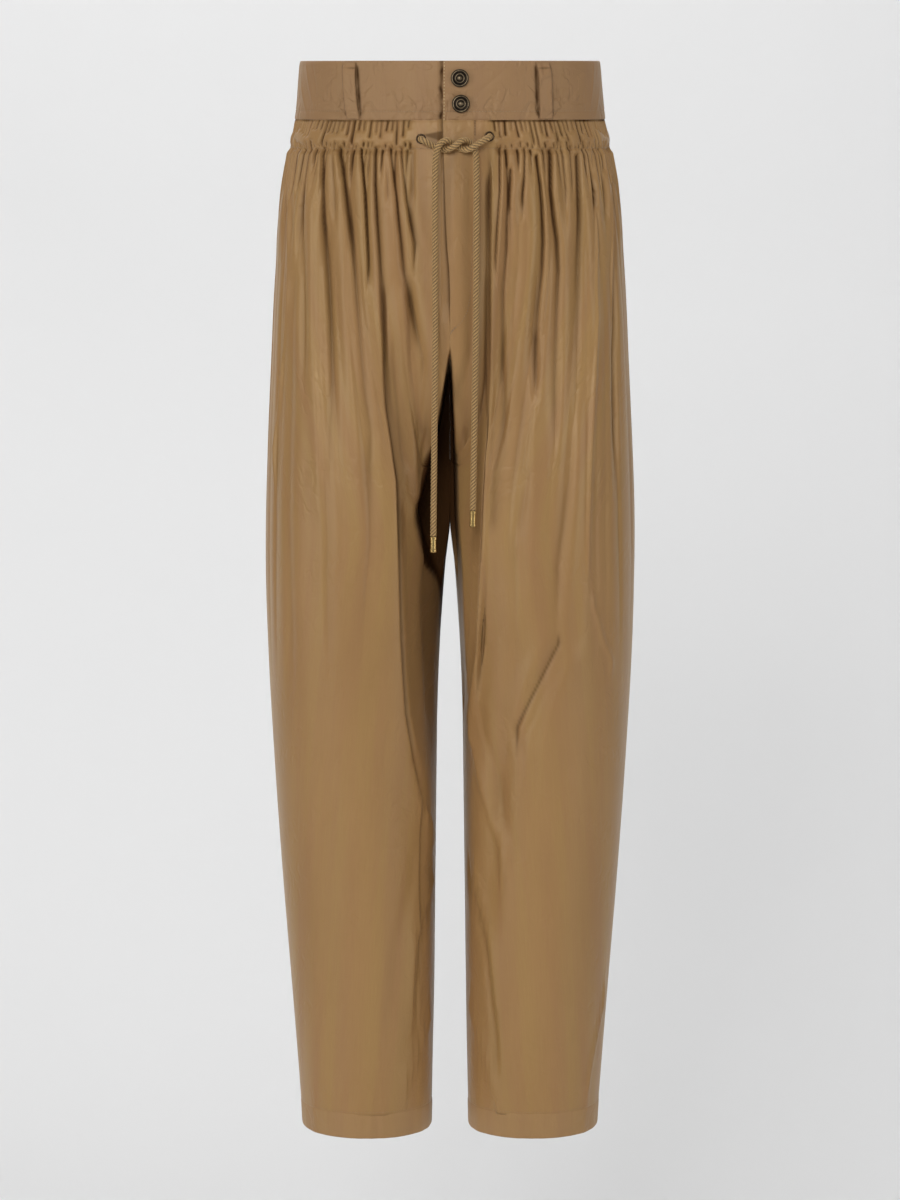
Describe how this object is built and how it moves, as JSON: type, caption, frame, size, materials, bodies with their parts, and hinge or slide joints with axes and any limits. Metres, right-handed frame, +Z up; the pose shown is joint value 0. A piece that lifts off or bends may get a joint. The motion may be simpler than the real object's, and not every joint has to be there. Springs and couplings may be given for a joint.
{
  "type": "cropped wide-leg trousers",
  "caption": "Cropped trousers with wide tapering legs, a gathered drawstring casing under a buttoned waistband, belt loops and plain hem bands, filled out and hollow.",
  "frame": {"origin": "centre of the waist opening, half way up the waistband", "axes": "+Z up, out of the waist opening and against the legs' length; the front faces -Y; the wearer's left is on +X"},
  "size_m": [0.347, 0.2527, 1.008],
  "materials": {
    "leg_cloth": "fluid satin weave, khaki brown",
    "band_cloth": "doubled satin weave, khaki brown, a little duller",
    "cord": "twisted cord, golden khaki",
    "button_metal": "dark antique metal, turned rings",
    "eyelet_metal": "dark antique metal",
    "tip_metal": "satin antique brass"
  },
  "bodies": {
    "root": {"waistband_right": "band_cloth", "waistband_left": "band_cloth", "front_right": "leg_cloth", "front_left": "leg_cloth", "back_right": "leg_cloth", "back_left": "leg_cloth", "hem_right": "leg_cloth", "hem_left": "leg_cloth", "belt_loop_front_right": "band_cloth", "belt_loop_front_left": "band_cloth", "belt_loop_back_right": "band_cloth", "belt_loop_back_left": "band_cloth", "belt_loop_centre_back": "band_cloth", "button_upper": "button_metal", "button_lower": "button_metal", "eyelet_right": "eyelet_metal", "eyelet_left": "eyelet_metal", "drawstring_long": "cord", "drawstring_short": "cord", "cord_tip_long": "tip_metal", "cord_tip_short": "tip_metal"}
  },
  "joints": []
}
